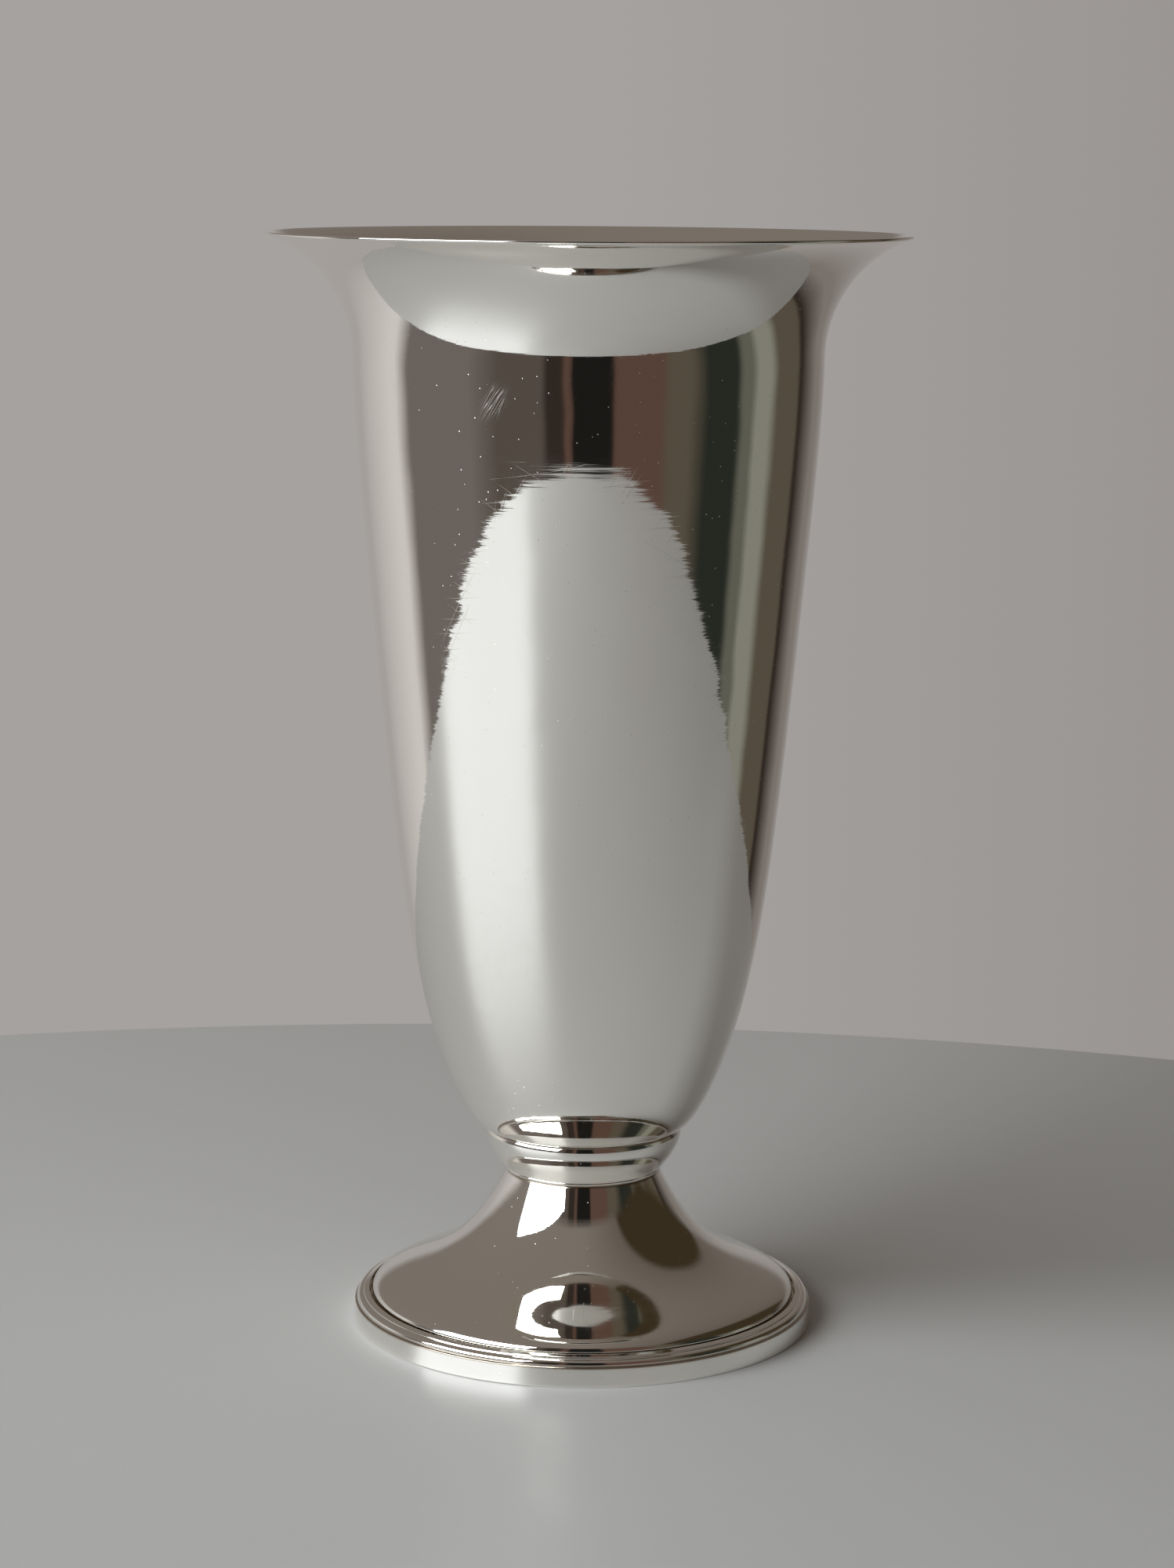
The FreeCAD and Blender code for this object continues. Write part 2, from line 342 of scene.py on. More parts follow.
# %% [markdown]
# ## From outline to piece
# The outline goes in as a mesh of edges only, and the lathe works on it as a modifier. Its result
# could stay live, but a plain mesh is what the frame expects, so new_from_object copies the
# result, and the outline is thrown away together with its modifier. The copy starts with the
# outline's own empty finish slot, so that slot is taken out and the silver's comes first.

# %% Run the lathe on an outline
merge_distance = 1e-6


def lay_outline(name, outline):
    """The outline as an object made of edges, with its corner and lining numbers."""
    line = bpy.data.meshes.new(name)
    places = [(radius, 0.0, height) for radius, height in outline.points]
    line.from_pydata(places, [(i, i + 1) for i in range(len(places) - 1)], [])
    for attribute, values in {"corner": outline.corners, "lining": outline.lining}.items():
        line.attributes.new(attribute, "FLOAT", "POINT").data.foreach_set("value", values)
    blank = bpy.data.objects.new(name, line)
    bpy.context.scene.collection.objects.link(blank)
    return blank


def run_lathe(blank, finish, steps_around, corner_ease):
    """The plain mesh that the lathe turns from an outline. The outline is used up."""
    lathe = blank.modifiers.new("lathe", "NODES")
    lathe.node_group = lathe_tree
    sizes = {
        "Steps Around": steps_around,
        "Corner Ease": corner_ease,
        "Merge Distance": merge_distance,
        "Finish": finish,
    }
    for item in lathe_tree.interface.items_tree:
        if item.in_out == "INPUT" and item.name in sizes:
            lathe[item.identifier] = sizes[item.name]
    evaluated = blank.evaluated_get(bpy.context.evaluated_depsgraph_get())
    mesh = bpy.data.meshes.new_from_object(evaluated)
    mesh.materials.pop(index=0)
    bpy.data.objects.remove(blank)
    return mesh


print("points closer than", merge_distance, "m become one, which closes seams and poles")


# %% Let a piece stand for its CAD node
def turn_piece(name, outline, node, finish, steps_around, corner_ease):
    """Turn an outline, and let the piece take the place of its CAD node on the one body."""
    mesh = run_lathe(lay_outline(name + "_outline", outline), finish, steps_around, corner_ease)
    mesh.name = name
    piece = bpy.data.objects.new(name, mesh)
    bpy.context.scene.collection.objects.link(piece)
    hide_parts(node)
    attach(piece, "root")
    print(name, "has", len(mesh.polygons), "faces and", len(mesh.materials), "finish")
    return piece


print("all four pieces ride on root, because the real ones are soldered together")

# %% [markdown]
# ## Polished silver
# Silver is the palest of mirrors: a metallic shader with a faint warm tint. What makes it look
# real is what spinning and polishing leave behind. Scratches could be painted in an image, but
# that repeats and needs a flat layout of each piece. Noise patterns on the piece's own
# coordinates never repeat and keep their size in metres, so each trace below is one of them,
# and feeds the bump, the roughness or the colour.

# %% Numbers and colours from a pattern
def mix_number(tree, share, low, high):
    """A number that goes from low to high as share goes from 0 to 1."""
    return add_node(tree, "ShaderNodeMapRange", Value=share, To_Min=low, To_Max=high).outputs[0]


def mix_colour(tree, share, low, high):
    """A colour that goes from low to high as share goes from 0 to 1."""
    node = add_node(tree, "ShaderNodeMix", {"data_type": "RGBA"}, _0=share, _6=low, _7=high)
    return node.outputs[2]


def fade(tree, value, start, end):
    """1 where value is at start or beyond it, 0 at end or beyond it, and soft between them."""
    settings = {"interpolation_type": "SMOOTHSTEP"}
    limits = {"From_Min": start, "From_Max": end, "To_Min": 1.0, "To_Max": 0.0}
    return add_node(tree, "ShaderNodeMapRange", settings, Value=value, **limits).outputs[0]


def noise(tree, vector, spacing, detail):
    """Noise whose features are about one spacing apart."""
    scale = 1 / spacing
    node = add_node(tree, "ShaderNodeTexNoise", Vector=vector, Scale=scale, Detail=detail)
    return node.outputs["Fac"]


def dent(tree, height, depth, normal=None):
    """Bump by a height of 0 to 1 whose full depth is given in metres."""
    bump = add_node(tree, "ShaderNodeBump", Distance=depth, Height=height)
    if normal is not None:
        tree.links.new(normal, bump.inputs["Normal"])
    return bump.outputs[0]


print("pattern helpers: mix_number, mix_colour, fade, noise and dent")


# %% Places on a round wall
def angle_from_front(tree, x, y):
    """The angle round the Z axis: 0 in front, growing to the right, less than 0 on the left."""
    return calculate(tree, "ARCTAN2", x, calculate(tree, "MULTIPLY", y, -1.0))


def unrolled(tree, place, radius):
    """The wall laid flat: distance around from the front at a nominal radius, and height."""
    x, y, z = add_node(tree, "ShaderNodeSeparateXYZ", _0=place).outputs
    around = calculate(tree, "MULTIPLY", angle_from_front(tree, x, y), radius)
    return add_node(tree, "ShaderNodeCombineXYZ", X=around, Y=z).outputs[0]


def ring_place(tree, place, stretch):
    """Places for a pattern that runs round the axis: slow around it, fast along its height."""
    x, y, z = add_node(tree, "ShaderNodeSeparateXYZ", _0=place).outputs
    slow_x = calculate(tree, "MULTIPLY", x, 1 / stretch)
    slow_y = calculate(tree, "MULTIPLY", y, 1 / stretch)
    return add_node(tree, "ShaderNodeCombineXYZ", X=slow_x, Y=slow_y, Z=z).outputs[0]


print("place helpers: unrolled for scratches, ring_place for what the spinning leaves")

# %% [markdown]
# ## Waves and ripples from spinning
# A tool pressed against the turning sheet leaves fine ripples that run round the vase, and the
# finished wall is very slightly wavy. Both only show as the bent edges of reflections. They
# are noise stretched round the axis, and their depths are tiny, because a mirror shows even a
# thousandth of a millimetre.

# %% Waves, ripples and fine lines
wave_spacing, wave_depth = 0.012, 8.0e-5
ripple_spacing, ripple_depth = 0.0012, 7.0e-6
ripple_stretch = 24.0
line_spacing = 0.00028
line_stretch = 120.0


def waves(tree, place):
    """The gentle unevenness of the whole wall."""
    return noise(tree, place, wave_spacing, detail=1.0)


def ripples(tree, place):
    """The spinner's ripples round the wall."""
    return noise(tree, ring_place(tree, place, ripple_stretch), ripple_spacing, detail=3.0)


def fine_lines(tree, place):
    """The finest lines, which only soften the mirror."""
    return noise(tree, ring_place(tree, place, line_stretch), line_spacing, detail=1.0)


print("ripples", mm(ripple_spacing), "mm apart and", ripple_depth * 1e6, "micrometres deep")

# %% [markdown]
# ## Specks
# Small pits and dust show as specks. A Voronoi pattern gives one centre to each small cell of
# space, and a speck is what lies close to a centre. It also gives each cell a colour, which
# here works as the cell's luck: a few cells are left out, so the specks don't look planted.

# %% Specks
speck_spacing = 0.0016
speck_radius_share = 0.07
speck_luck = 0.15
speck_depth = 2.0e-5
soft_edge_share = 0.4


def specks(tree, place):
    """1 on a speck and 0 beside it."""
    cells = add_node(tree, "ShaderNodeTexVoronoi", Vector=place, Scale=1 / speck_spacing)
    luck = add_node(tree, "ShaderNodeSeparateColor", _0=cells.outputs["Color"]).outputs[1]
    core = speck_radius_share * soft_edge_share
    spot = fade(tree, cells.outputs["Distance"], core, speck_radius_share)
    return calculate(tree, "MULTIPLY", spot, calculate(tree, "GREATER_THAN", luck, speck_luck))


print("a speck is about", mm(speck_spacing * speck_radius_share * 2), "mm wide at most")

# %% [markdown]
# ## Hairlines
# A cloth drags grit over the silver and leaves hairlines, long and nearly straight, in a few
# directions. Noise that is drawn out along one direction has long thin contour lines, and
# the line where it is just one half makes a good scratch. Broader noise decides where they are,
# because no cloth reaches everywhere.

# %% Hairlines
hairline_length, hairline_gap = 0.05, 0.004
hairline_share = 0.006
hairline_depth = 5.0e-7
hairline_leans = (0.12, -0.55, 1.05, 1.5)
contour_level = 0.5
rub_spacing = 0.018
rubbed_level, bare_level = 0.56, 0.46


def hairlines(tree, flat, lean, length, gap, share):
    """Thin scratches that lean one way: the contour lines of a noise drawn out along them."""
    laid = add_node(
        tree,
        "ShaderNodeMapping",
        {"vector_type": "TEXTURE"},
        Vector=flat,
        Rotation=(0.0, 0.0, lean),
        Scale=(length, gap, 1.0),
    )
    level = noise(tree, laid.outputs[0], 1.0, detail=0.0)
    off = calculate(tree, "ABSOLUTE", calculate(tree, "SUBTRACT", level, contour_level))
    return fade(tree, off, share * soft_edge_share, share)


def crossing_hairlines(tree, place, flat):
    """Hairlines of several leans, where the cloth has been."""
    crossings = 0.0
    for lean in hairline_leans:
        marks = hairlines(tree, flat, lean, hairline_length, hairline_gap, hairline_share)
        crossings = calculate(tree, "MAXIMUM", crossings, marks)
    reached = fade(tree, noise(tree, place, rub_spacing, detail=2.0), rubbed_level, bare_level)
    return calculate(tree, "MULTIPLY", crossings, reached)


print("hairlines lean", len(hairline_leans), "ways, up to", mm(hairline_length), "mm long")

# %% [markdown]
# ## Rubbed patches
# The vase has a small rubbed patch on the bowl and one on the foot, where it was wiped too hard.
# Each is a bundle of short scratches inside a soft-edged oval. A Mapping node lays the unrolled
# wall on the oval: its centre, its lean and its two half widths are the node's own settings.

# %% Rubbed patches
scuff_length, scuff_gap, scuff_share = 0.006, 0.0004, 0.07
oval_core = 0.3


def scuff(tree, flat, around, level, width, rise, lean):
    """A rubbed patch by its place on the unrolled wall, its half widths and its lean."""
    laid = add_node(
        tree,
        "ShaderNodeMapping",
        {"vector_type": "TEXTURE"},
        Vector=flat,
        Location=(around, level, 0.0),
        Rotation=(0.0, 0.0, lean),
        Scale=(rise, width, 1.0),
    )
    reach = add_node(tree, "ShaderNodeVectorMath", {"operation": "LENGTH"}, _0=laid.outputs[0])
    oval = fade(tree, reach.outputs["Value"], oval_core, 1.0)
    marks = hairlines(tree, flat, lean, scuff_length, scuff_gap, scuff_share)
    return calculate(tree, "MULTIPLY", oval, marks)


print("a rubbed patch has scratches of about", mm(scuff_length), "mm")

# %% [markdown]
# ## Haze, tarnish and painted joint shade
# Polish never comes out even: soft patches of haze lie between the clear ones. Inside the vase
# the cloth doesn't reach, and the silver turns brownish and rougher with tarnish. Where two
# pieces meet, a narrow ring of the same brown is painted shade for the crease, and it is
# rougher too. Tarnish could be its own layer of shader. A share from 0 to 1 is simpler, because
# the same share can then mix the colour and raise the roughness.

# %% Haze, tarnish and painted joint shade
haze_spacing = 0.03
clear_level, hazy_level = 0.42, 0.72
lining_tarnish = 0.25
# How much of a joint's reach gets the full painted shade.
joint_core = 0.3
blotch_spacing, palest_blotch = 0.004, 0.6


def haze_patches(tree, place, haze):
    """The roughness of the haze, from 0 in the clear places to its full value."""
    node = add_node(
        tree,
        "ShaderNodeMapRange",
        Value=noise(tree, place, haze_spacing, detail=3.0),
        From_Min=clear_level,
        From_Max=hazy_level,
        To_Min=0.0,
        To_Max=haze,
    )
    return node.outputs[0]


def tarnish(tree, place, lining, joints):
    """Tarnish inside the vase, and painted shade for the crease within the reach of each joint.
    """
    height = add_node(tree, "ShaderNodeSeparateXYZ", _0=place).outputs[2]
    dull_and_joint_shade = calculate(tree, "MULTIPLY", lining, lining_tarnish)
    # Each joint adds a ring of painted shade, standing in for the shade in its crease.
    for joint in joints:
        gap = calculate(tree, "ABSOLUTE", calculate(tree, "SUBTRACT", height, joint["level"]))
        joint_shade = fade(tree, gap, joint["reach"] * joint_core, joint["reach"])
        dull_and_joint_shade = calculate(tree, "MAXIMUM", dull_and_joint_shade, joint_shade)
    patchy = noise(tree, place, blotch_spacing, detail=2.0)
    return calculate(tree, "MULTIPLY", dull_and_joint_shade, mix_number(tree, patchy, palest_blotch, 1.0))


print("tarnish inside the vase:", lining_tarnish, "of full")

# %% [markdown]
# ## One silver for all pieces
# The traces come together in one function, because all four pieces are the same metal and
# differ only in size, haze, joints and patches. Each trace has a share in the roughness, and
# the deeper ones are dents one after the other: a Bump node takes the normal of the one before.

# %% The silver
silver_colour = (0.95, 0.93, 0.885, 1.0)
# Brown for tarnish inside the vase, and as painted shade at the joints.
tarnish_and_joint_shade_colour = (0.40, 0.33, 0.25, 1.0)
hairline_roughness = 0.025
speck_roughness = 0.22
line_roughness = 0.05
scuff_roughness = 0.24
lining_roughness = 0.12
tarnish_roughness = 0.15


def polished_silver(name, nominal_radius, haze, joints=(), scuffs=()):
    """Mirror silver with the traces of its making. Haze is how rough its softest patches are."""
    material = bpy.data.materials.new(name)
    material.use_nodes = True
    tree = material.node_tree
    place = tree.nodes.new("ShaderNodeTexCoord").outputs["Object"]
    flat = unrolled(tree, place, nominal_radius)
    lining = add_node(tree, "ShaderNodeAttribute", {"attribute_name": "lining"}).outputs["Fac"]
    marks = crossing_hairlines(tree, place, flat)
    spots = specks(tree, place)
    # Tarnish inside, and painted shade in a ring round each joint.
    dull_and_joint_shade = tarnish(tree, place, lining, joints)

    shares = [
        (marks, hairline_roughness),
        (spots, speck_roughness),
        (fine_lines(tree, place), line_roughness),
        (lining, lining_roughness),
        (dull_and_joint_shade, tarnish_roughness),
    ]
    shares += [(scuff(tree, flat, **patch), scuff_roughness) for patch in scuffs]
    rough = haze_patches(tree, place, haze)
    for trace, share in shares:
        rough = calculate(tree, "ADD", rough, calculate(tree, "MULTIPLY", trace, share))

    normal = dent(tree, waves(tree, place), wave_depth)
    normal = dent(tree, ripples(tree, place), ripple_depth, normal)
    normal = dent(tree, calculate(tree, "SUBTRACT", 1.0, spots), speck_depth, normal)
    normal = dent(tree, calculate(tree, "SUBTRACT", 1.0, marks), hairline_depth, normal)

    shader = tree.nodes["Principled BSDF"]
    shader.inputs["Metallic"].default_value = 1.0
    # The colour goes towards the brown with tarnish and with the painted shade at the joints.
    colour = mix_colour(tree, dull_and_joint_shade, silver_colour, tarnish_and_joint_shade_colour)
    tree.links.new(colour, shader.inputs["Base Color"])
    tree.links.new(rough, shader.inputs["Roughness"])
    tree.links.new(normal, shader.inputs["Normal"])
    print(name, "is made of", len(tree.nodes), "nodes")
    return material


print("silver gives back", silver_colour[:3], "of red, green and blue")

# %% [markdown]
# ## The bowl
# The real bowl is one disc of sheet, spun over a former: a small flat base, a wall that swells
# fast and then slowly to an upright throat, and a lip rolled out along a round tool. Each swell
# could be an arc, but the real wall has no point where one arc ends, so it is one smooth
# stretch, and only the lip is an arc, which leaves the throat upright and ends at the rim.

# %% Throat and lip of the bowl
bowl_wall = 0.0006
lip_spread = 0.0155
lip_curl_radius = 0.0226

lip_lean = (lip_curl_radius - lip_spread) / lip_curl_radius
throat_radius = mouth_radius - lip_spread
throat_height = vase_height - (lip_curl_radius + bowl_wall) * math.sqrt(1 - lip_lean * lip_lean)
lip_centre = (throat_radius + lip_curl_radius, throat_height)
rim_angle = math.pi - math.acos(lip_lean)
lip_under = arc_run(lip_centre, lip_curl_radius, math.pi, rim_angle, steps=22)
lip_over = arc_run(lip_centre, lip_curl_radius + bowl_wall, rim_angle, math.pi, steps=22)
print("throat", mm(throat_radius * 2), "mm wide,", mm(throat_height), "mm up")

# %% Wall of the bowl, outside
base_radius = 0.01775
turn_share, turn_rise = 0.129, 0.0003
belly_shares = (0.501, 0.139)
body_shares = (0.711, 0.405)
neck_shares = (0.87, 0.699)
straight_share = 0.934


def wall_point(out, up):
    """A control point by its shares of the way out and up, from the base to the throat."""
    return (between(base_radius, throat_radius, out), between(base_height, throat_height, up))


bowl_base = (base_radius, base_height)
bowl_turn = (wall_point(turn_share, 0.0)[0], base_height + turn_rise)
bowl_belly = wall_point(*belly_shares)
bowl_body = wall_point(*body_shares)
bowl_neck = wall_point(*neck_shares)
bowl_straight = (throat_radius, between(base_height, throat_height, straight_share))
bowl_throat = (throat_radius, throat_height)
bowl_outside = smooth_run(
    [bowl_base, bowl_turn, bowl_belly, bowl_body, bowl_neck, bowl_straight, bowl_throat],
    steps=18,
)
print("outside of the wall:", len(bowl_outside), "points from", mm(base_height), "mm up")

# %% Wall of the bowl, inside
floor_inside = base_height + bowl_wall
bowl_inside = smooth_run(
    [
        (throat_radius - bowl_wall, throat_height),
        (throat_radius - bowl_wall, bowl_straight[1]),
        inside(bowl_body, bowl_neck, bowl_straight, bowl_wall),
        inside(bowl_belly, bowl_body, bowl_neck, bowl_wall),
        inside(bowl_turn, bowl_belly, bowl_body, bowl_wall),
        (bowl_turn[0], bowl_turn[1] + bowl_wall),
        (base_radius, floor_inside),
    ],
    steps=14,
)
print("inside of the wall:", len(bowl_inside), "points down to", mm(floor_inside), "mm")

# %% Outline of the bowl
rim_corner = 1.8

bowl_outline = Outline()
bowl_outline.add([(0.0, base_height), (base_radius - bowl_wall, base_height), bowl_base])
bowl_outline.add(bowl_outside, corner=smooth_join)
bowl_outline.add(lip_under, corner=smooth_join)
bowl_outline.add(straight_run(lip_under[-1], lip_over[0]), corner=rim_corner)
bowl_outline.add(lip_over, corner=rim_corner, lining=1.0)
bowl_outline.add(bowl_inside, corner=smooth_join, lining=1.0)
bowl_outline.add([bowl_inside[-1], (0.0, floor_inside)], corner=smooth_join, lining=1.0)
print("outline of the bowl:", len(bowl_outline.points), "points")

# %% The bowl
# Each joint gets a ring of painted shade, this far up and down from its level.
base_joint = {"level": base_height, "reach": 0.0003}
bowl_scuff = {"around": -0.0150, "level": 0.1722, "width": 0.0030, "rise": 0.0055, "lean": 1.08}

bowl_finish = polished_silver(
    "silver_bowl",
    nominal_radius=0.038,
    haze=0.03,
    joints=[base_joint],
    scuffs=[bowl_scuff],
)
bowl = turn_piece(
    "bowl_silver",
    bowl_outline,
    "bowl",
    bowl_finish,
    steps_around=256,
    corner_ease=0.00016,
)

# %% [markdown]
# ## The collar
# A small casting turned on the lathe: a full round that swells under the bowl's base and draws
# in to the waist, and a fine bead where it is soldered to the foot. A torus could stand for the
# round, but the real one is fuller above than below, which a smooth stretch can follow. Its bore
# is hidden, and it is closed by a wall of its own all the same.

# %% Bead of the collar
collar_bore = 0.0115
waist_radius = 0.0141
bead_height = 0.0009
bead_swell = 0.0007

bead_top = foot_height + bead_height
bead_reach = waist_radius + bead_swell
bead = smooth_run(
    [
        (waist_radius, foot_height),
        (bead_reach, foot_height),
        (bead_reach, bead_top),
        (waist_radius, bead_top),
    ],
    steps=14,
)
print("bead", mm(bead_height), "mm high round a waist of", mm(waist_radius * 2), "mm")

# %% Full round of the collar
round_overhang = 0.0008
round_swell = 0.00045
root_shares = (0.455, 0.243)
swell_shares = (0.788, 0.514)
upright_shares = (1.0, 0.757)
crown_shares = (1.0, 0.919)

round_root = (waist_radius + round_overhang, bead_top)
crown_radius = base_radius + round_swell


def round_point(out, up):
    """A control point by its shares of the way out and up, from the bead to the crown."""
    return (between(round_root[0], crown_radius, out), between(bead_top, base_height, up))


full_round = smooth_run(
    [
        round_root,
        round_point(*root_shares),
        round_point(*swell_shares),
        round_point(*upright_shares),
        round_point(*crown_shares),
        bowl_base,
    ],
    steps=16,
)
print("the round swells to", mm(crown_radius * 2), "mm")

# %% Outline of the collar
bore_foot = (collar_bore, foot_height)
bore_top = (collar_bore, base_height)
bore_middle = (collar_bore, between(foot_height, base_height, 0.5))

collar_outline = Outline()
collar_outline.add([bore_middle, bore_foot])
collar_outline.add(straight_run(bore_foot, (waist_radius, foot_height)))
collar_outline.add(bead, corner=smooth_join)
collar_outline.add(straight_run((waist_radius, bead_top), round_root))
collar_outline.add(full_round, corner=smooth_join)
collar_outline.add(straight_run(bowl_base, bore_top))
collar_outline.add([bore_top, bore_middle])
print("outline of the collar:", len(collar_outline.points), "points")

# %% The collar
# Painted shade where the collar stands on the foot.
waist_joint = {"level": foot_height, "reach": 0.0005}

collar_finish = polished_silver(
    "silver_collar",
    nominal_radius=0.017,
    haze=0.03,
    joints=[waist_joint, base_joint],
)
collar = turn_piece(
    "collar_silver",
    collar_outline,
    "collar",
    collar_finish,
    steps_around=224,
    corner_ease=0.00012,
)

# %% [markdown]
# ## The foot
# Spun like the bowl, from a wide flat shoulder up to the narrow waist. Its skirt stands inside
# the band, and it is hollow underneath, so its inner face is drawn too. A solid cone would look
# the same from above, but the vase is judged from below as well, and light gets under it.

# %% Dome of the foot, outside
foot_wall = 0.0008
shoulder_height = 0.0052
shoulder_round = 0.00185
slope_shares = (0.668, 0.183)
flare_shares = (0.215, 0.5)


def dome_point(out, up):
    """A control point by its shares of the way out to the skirt and up to the waist."""
    radius = between(waist_radius, skirt_radius, out)
    return (radius, between(shoulder_height, foot_height, up))


foot_shoulder = (skirt_radius, shoulder_height)
foot_turn = (skirt_radius, shoulder_height + shoulder_round)
foot_slope = dome_point(*slope_shares)
foot_flare = dome_point(*flare_shares)
foot_top = (waist_radius, foot_height)
dome = smooth_run([foot_shoulder, foot_turn, foot_slope, foot_flare, foot_top], steps=34)
print("the dome rises from", mm(shoulder_height), "mm to", mm(foot_height), "mm")

# %% Dome of the foot, underneath
skirt_inside = skirt_radius - foot_wall
under_top = foot_height - foot_wall
under_dome = smooth_run(
    [
        (waist_radius - foot_wall, under_top),
        inside(foot_slope, foot_flare, foot_top, foot_wall),
        inside(foot_turn, foot_slope, foot_flare, foot_wall),
        (skirt_inside, foot_turn[1] - foot_wall),
        (skirt_inside, shoulder_height),
    ],
    steps=16,
)
print("the sheet of the foot is", mm(foot_wall), "mm thick")

# %% Outline of the foot
hole_middle = (collar_bore, foot_height - foot_wall / 2)
hole_under = (collar_bore, under_top)
hole_top = (collar_bore, foot_height)

foot_outline = Outline()
foot_outline.add([hole_middle, hole_under], lining=1.0)
foot_outline.add([hole_under, under_dome[0]], lining=1.0)
foot_outline.add(under_dome, lining=1.0)
inner_skirt = straight_run(under_dome[-1], (skirt_inside, seat_height))
foot_outline.add(inner_skirt, corner=smooth_join, lining=1.0)
foot_outline.add(straight_run((skirt_inside, seat_height), (skirt_radius, seat_height)))
foot_outline.add(straight_run((skirt_radius, seat_height), foot_shoulder))
foot_outline.add(dome, corner=smooth_join)
foot_outline.add(straight_run(foot_top, hole_top))
foot_outline.add([hole_top, hole_middle])
print("outline of the foot:", len(foot_outline.points), "points")

# %% The foot
groove_level = 0.0036
# Painted shade round the foot's skirt, where it stands in the band's groove.
skirt_joint = {"level": groove_level, "reach": 0.0012}
foot_scuff = {"around": -0.0145, "level": 0.0240, "width": 0.0028, "rise": 0.0060, "lean": 0.40}

foot_finish = polished_silver(
    "silver_foot",
    nominal_radius=0.028,
    haze=0.10,
    joints=[waist_joint, skirt_joint],
    scuffs=[foot_scuff],
)
foot = turn_piece(
    "foot_silver",
    foot_outline,
    "foot",
    foot_finish,
    steps_around=256,
    corner_ease=0.00012,
)

# %% [markdown]
# ## The band
# A drawn wire bent into a ring and soldered on: a plain wall, a small step, a quarter round and
# a ledge, and then the groove that the foot's skirt stands in. The steps could be left to the
# bump, but each of them draws its own line of light round the foot, so they are real edges
# with a fine ease.

# %% Mouldings of the band
wall_height = 0.0035
wall_draft = 0.00035
step_width, step_rise = 0.00035, 0.00015
ovolo_width, ovolo_rise = 0.00125, 0.00115
ledge_lip, ledge_rise = 0.0002, 0.0003
groove_width, groove_depth = 0.00055, 0.0017

wall_foot = (foot_radius, 0.0)
wall_top = (foot_radius - wall_draft, wall_height)
step = (wall_top[0] - step_width, wall_height + step_rise)
ovolo_height = step[1] + ovolo_rise
ovolo_end = (step[0] - ovolo_width, ovolo_height)
ledge = (ovolo_end[0], ovolo_height + ledge_lip)
brink = (skirt_radius + groove_width, ledge[1] + ledge_rise)
groove_floor = brink[1] - groove_depth
ovolo = smooth_run([step, (step[0], ovolo_height), ovolo_end], steps=16)
print("the band is", mm(brink[1]), "mm high and its groove ends at", mm(groove_floor), "mm")

# %% Outline of the band
fine_step = 0.0001

band_bore = skirt_radius - foot_wall
band_middle = (band_bore, seat_height / 2)
groove_outside = (brink[0], groove_floor)
groove_inside = (skirt_radius, groove_floor)

band_outline = Outline()
band_outline.add([band_middle, (band_bore, 0.0)])
band_outline.add(straight_run((band_bore, 0.0), wall_foot))
band_outline.add(straight_run(wall_foot, wall_top))
band_outline.add(straight_run(wall_top, step, fine_step))
band_outline.add(ovolo)
band_outline.add(straight_run(ovolo_end, ledge, fine_step))
band_outline.add(straight_run(ledge, brink, fine_step))
band_outline.add(straight_run(brink, groove_outside))
band_outline.add(straight_run(groove_outside, groove_inside))
band_outline.add([groove_inside, (skirt_radius, seat_height)])
band_outline.add([(skirt_radius, seat_height), (band_bore, seat_height)])
band_outline.add([(band_bore, seat_height), band_middle])
print("outline of the band:", len(band_outline.points), "points")

# %% The band
# Painted shade in the groove of the band.
groove_joint = {"level": groove_level, "reach": 0.0005}

band_finish = polished_silver(
    "silver_band",
    nominal_radius=0.042,
    haze=0.05,
    joints=[groove_joint],
)
band = turn_piece(
    "band_silver",
    band_outline,
    "foot_band",
    band_finish,
    steps_around=256,
    corner_ease=0.00014,
)

# %% [markdown]
# ## The floor
# A mirror shows nothing but its surroundings, so the studio is most of the picture. The vase
# stands on a plain pale round slab, whose edge shows in the bowl as the top of a pale flame. An
# endless floor would be simpler, but then the bowl would show the floor up to its throat. The
# slab's edge is eased a little, as no real edge is sharp.

# %% Shape of the floor
floor_radius = 0.462
floor_centre = (-0.025, -0.235)
floor_thickness = 0.018
floor_ease = 0.002
floor_ease_share = 0.3
floor_steps = 256
floor_profile = [
    (floor_radius - floor_ease, 0.0),
    (floor_radius - floor_ease * floor_ease_share, -floor_ease * floor_ease_share),
    (floor_radius, -floor_ease),
    (floor_radius, -floor_thickness),
]


def slab_mesh():
    """A closed round slab: one face on top, rings of faces down its edge, one face below."""
    points = []
    for radius, height in floor_profile:
        for i in range(floor_steps):
            angle = math.tau * i / floor_steps
            x = floor_centre[0] + radius * math.cos(angle)
            y = floor_centre[1] + radius * math.sin(angle)
            points.append((x, y, height))
    faces = [list(range(floor_steps))]
    for ring in range(len(floor_profile) - 1):
        upper, lower = ring * floor_steps, (ring + 1) * floor_steps
        for i in range(floor_steps):
            j = (i + 1) % floor_steps
            faces.append([upper + i, lower + i, lower + j, upper + j])
    last_ring = (len(floor_profile) - 1) * floor_steps
    faces.append([last_ring + i for i in reversed(range(floor_steps))])
    mesh = bpy.data.meshes.new("floor")
    mesh.from_pydata(points, [], faces)
    return mesh


floor = bpy.data.objects.new("floor", slab_mesh())
bpy.context.scene.collection.objects.link(floor)
print("floor:", len(floor.data.polygons), "faces")

# %% Finish of the floor
floor_colour = (0.53, 0.53, 0.52, 1.0)
cloud_lift = 1.06
paler_floor = tuple(c * cloud_lift for c in floor_colour[:3]) + (1.0,)
floor_cloud_spacing = 0.2
floor_matt_spacing = 0.01
floor_roughness = (0.38, 0.46)

